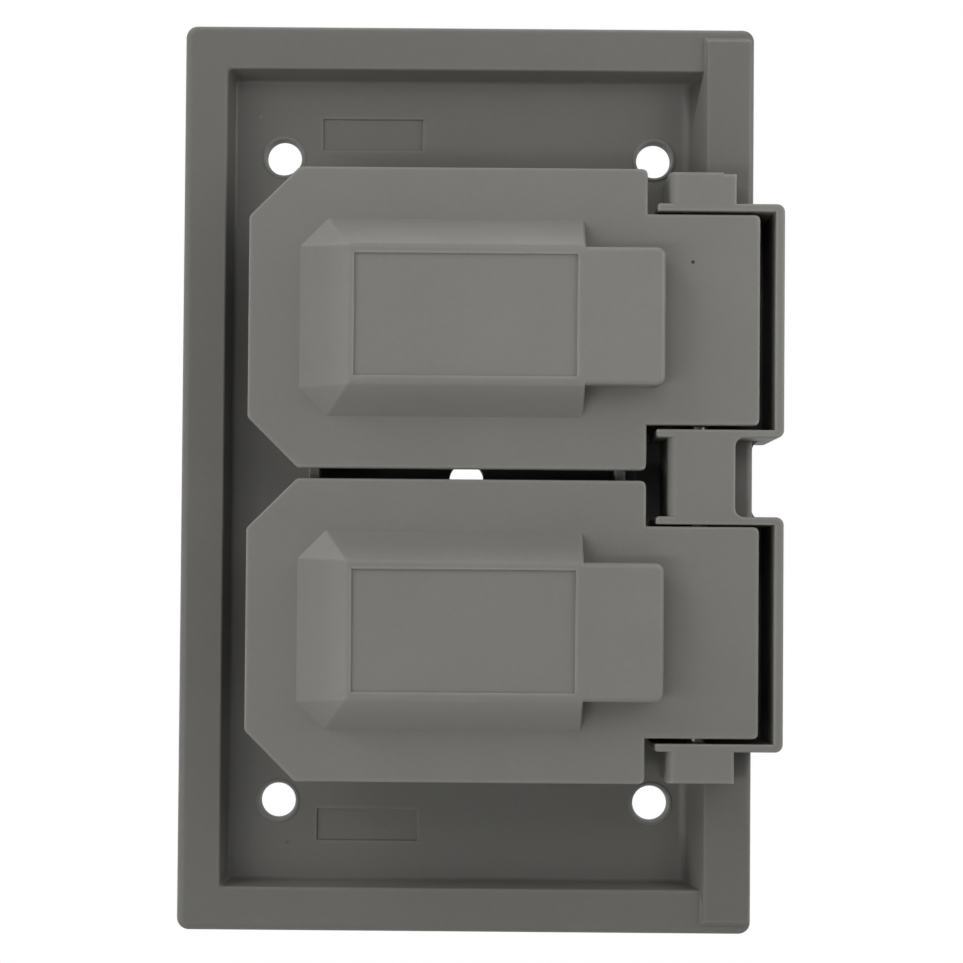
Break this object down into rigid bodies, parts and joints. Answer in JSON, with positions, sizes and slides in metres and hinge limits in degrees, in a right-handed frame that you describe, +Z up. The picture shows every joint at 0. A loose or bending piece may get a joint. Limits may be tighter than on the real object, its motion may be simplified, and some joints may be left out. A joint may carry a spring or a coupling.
{
  "type": "weather-protective duplex receptacle cover",
  "caption": "Recessed wall cover plate with flip lids on sprung side hinges over receptacle openings, foam seals and corner screw holes.",
  "frame": {"origin": "axis of the centre screw hole, at the wall face", "axes": "+Z up the plate, -Y out of the wall towards the viewer, +X towards the hinge side"},
  "size_m": [0.0762, 0.0195, 0.1156],
  "materials": {
    "plate_plastic": "satin moulded",
    "lid_plastic": "satin moulded",
    "gasket_foam": "closed-cell foam",
    "stainless_steel": "drawn wire"
  },
  "bodies": {
    "housing": {"cover_plate": "plate_plastic", "wall_gasket": "gasket_foam", "upper_hinge_pin": "stainless_steel", "lower_hinge_pin": "stainless_steel", "upper_return_spring": "stainless_steel", "lower_return_spring": "stainless_steel"},
    "upper_flap": {"upper_lid": "lid_plastic", "upper_lid_seal": "gasket_foam"},
    "lower_flap": {"lower_lid": "lid_plastic", "lower_lid_seal": "gasket_foam"}
  },
  "joints": [
    {"name": "upper_lid_hinge", "type": "hinge", "parent": "housing", "child": "upper_flap", "pos_m": [0.0293, -0.0112, 0.01972], "axis": [0, 0, 1], "range_deg": [0, 95], "stiffness_Nm_per_rad": 0.02, "springref_deg": -34.38, "deforming": ["upper_return_spring"]},
    {"name": "lower_lid_hinge", "type": "hinge", "parent": "housing", "child": "lower_flap", "pos_m": [0.0293, -0.0112, -0.01948], "axis": [0, 0, 1], "range_deg": [0, 95], "stiffness_Nm_per_rad": 0.02, "springref_deg": -34.38, "deforming": ["lower_return_spring"]}
  ]
}
